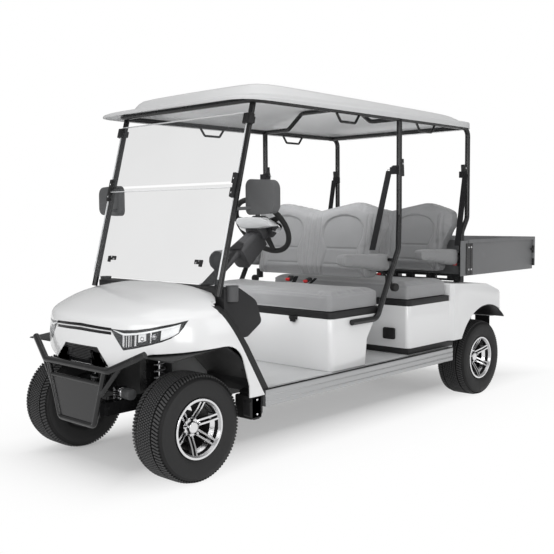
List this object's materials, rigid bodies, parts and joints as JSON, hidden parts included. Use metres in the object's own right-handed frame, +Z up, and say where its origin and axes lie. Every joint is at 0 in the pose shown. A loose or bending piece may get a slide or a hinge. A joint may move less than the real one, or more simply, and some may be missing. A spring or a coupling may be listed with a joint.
{
  "type": "electric utility cart",
  "caption": "Open-sided electric utility cart with two bench seats, a roof, a fold-down windscreen, a cargo box with a drop tailgate, and steering front wheels.",
  "frame": {"origin": "on the ground, under the centre of the overall box", "axes": "+Z up, the cart faces -Y, +X is its left side"},
  "size_m": [1.38, 3.512, 1.8779],
  "materials": {
    "black_steel": "satin powder coat",
    "floor_grey": "ribbed mat",
    "sill_aluminium": "brushed",
    "body_white": "gloss",
    "black_plastic": "grained",
    "seat_vinyl": "soft vinyl",
    "red_lens": "gloss",
    "black_rubber": "matt",
    "roof_grey": "gloss",
    "clear_glazing": "clear",
    "black_webbing": "woven",
    "bed_grey": "satin",
    "lamp_lens": "clear",
    "tyre": "matt",
    "alloy": "machined"
  },
  "bodies": {
    "chassis": {"frame_rails": "black_steel", "cross_members": "black_steel", "hitch_plate": "black_steel", "shock_tower": "black_steel", "bed_posts": "black_steel", "floor_deck": "floor_grey", "side_sills": "sill_aluminium", "front_cowl": "body_white", "body_trims": "black_plastic", "dashboard": "black_plastic", "instrument_pod": "black_plastic", "pedals": "black_rubber", "front_wheel_liners": "black_plastic", "rear_wheel_liners": "black_plastic", "bumper_guard": "black_steel", "steering_gear": "black_steel", "front_seat_base": "body_white", "seat_trays": "black_plastic", "seat_cushions": "seat_vinyl", "backrests": "seat_vinyl", "armrests": "seat_vinyl", "seat_frames": "black_steel", "rear_body": "body_white", "charging_socket": "black_plastic", "tail_lights": "red_lens", "mud_flaps": "black_rubber", "roof_panel": "roof_grey", "roof_frame": "black_steel", "roof_braces": "black_steel", "grab_handles": "black_steel", "roof_posts": "black_steel", "windscreen": "clear_glazing", "mirrors": "black_plastic", "seat_belts": "black_webbing", "steering_column": "black_plastic", "control_arms": "black_steel", "coil_overs": "black_steel", "rear_axle": "black_steel", "leaf_springs": "black_steel", "battery_block": "black_plastic", "cargo_bed": "bed_grey", "bed_straps": "black_steel", "headlights": "lamp_lens", "light_bar": "lamp_lens", "grille_panel": "black_plastic"},
    "knuckle_left": {"knuckle_left": "black_steel"},
    "knuckle_right": {"knuckle_right": "black_steel"},
    "tie_rod": {"tie_rod": "black_steel"},
    "steering_wheel": {"steering_wheel": "black_rubber"},
    "tailgate": {"tailgate": "bed_grey"},
    "wheel_front_left": {"tyre_front_left": "tyre", "rim_front_left": "alloy"},
    "wheel_front_right": {"tyre_front_right": "tyre", "rim_front_right": "alloy"},
    "wheel_rear_left": {"tyre_rear_left": "tyre", "rim_rear_left": "alloy"},
    "wheel_rear_right": {"tyre_rear_right": "tyre", "rim_rear_right": "alloy"}
  },
  "joints": [
    {"name": "steer_left", "type": "hinge", "parent": "chassis", "child": "knuckle_left", "pos_m": [0.335, -1.4505, 0.25], "axis": [0, 0, 1], "range_deg": [-28, 28]},
    {"name": "steer_right", "type": "hinge", "parent": "chassis", "child": "knuckle_right", "pos_m": [-0.335, -1.4505, 0.25], "axis": [0, 0, 1], "range_deg": [-28, 28]},
    {"name": "tie_rod_swing", "type": "hinge", "parent": "knuckle_left", "child": "tie_rod", "pos_m": [0.335, -1.3405, 0.2633], "axis": [0, 0, 1], "range_deg": [-28, 28]},
    {"name": "steering_wheel_turn", "type": "hinge", "parent": "chassis", "child": "steering_wheel", "pos_m": [0.28, -0.769, 1.155], "axis": [0, 0.809, 0.5878], "range_deg": [-392, 392]},
    {"name": "front_left_roll", "type": "hinge", "parent": "knuckle_left", "child": "wheel_front_left", "pos_m": [0.45, -1.4505, 0.25], "axis": [1, 0, 0], "continuous": true},
    {"name": "front_right_roll", "type": "hinge", "parent": "knuckle_right", "child": "wheel_front_right", "pos_m": [-0.45, -1.4505, 0.25], "axis": [1, 0, 0], "continuous": true},
    {"name": "rear_left_roll", "type": "hinge", "parent": "chassis", "child": "wheel_rear_left", "pos_m": [0.45, 1.0425, 0.25], "axis": [1, 0, 0], "continuous": true},
    {"name": "rear_right_roll", "type": "hinge", "parent": "chassis", "child": "wheel_rear_right", "pos_m": [-0.45, 1.0425, 0.25], "axis": [1, 0, 0], "continuous": true},
    {"name": "tailgate_drop", "type": "hinge", "parent": "chassis", "child": "tailgate", "pos_m": [0, 1.748, 0.822], "axis": [-1, 0, 0], "range_deg": [0, 90]}
  ],
  "couplings": [
    {"joint": "steer_right", "follows": "steer_left", "ratio": 1},
    {"joint": "tie_rod_swing", "follows": "steer_left", "ratio": -1},
    {"joint": "steering_wheel_turn", "follows": "steer_left", "ratio": 14}
  ]
}
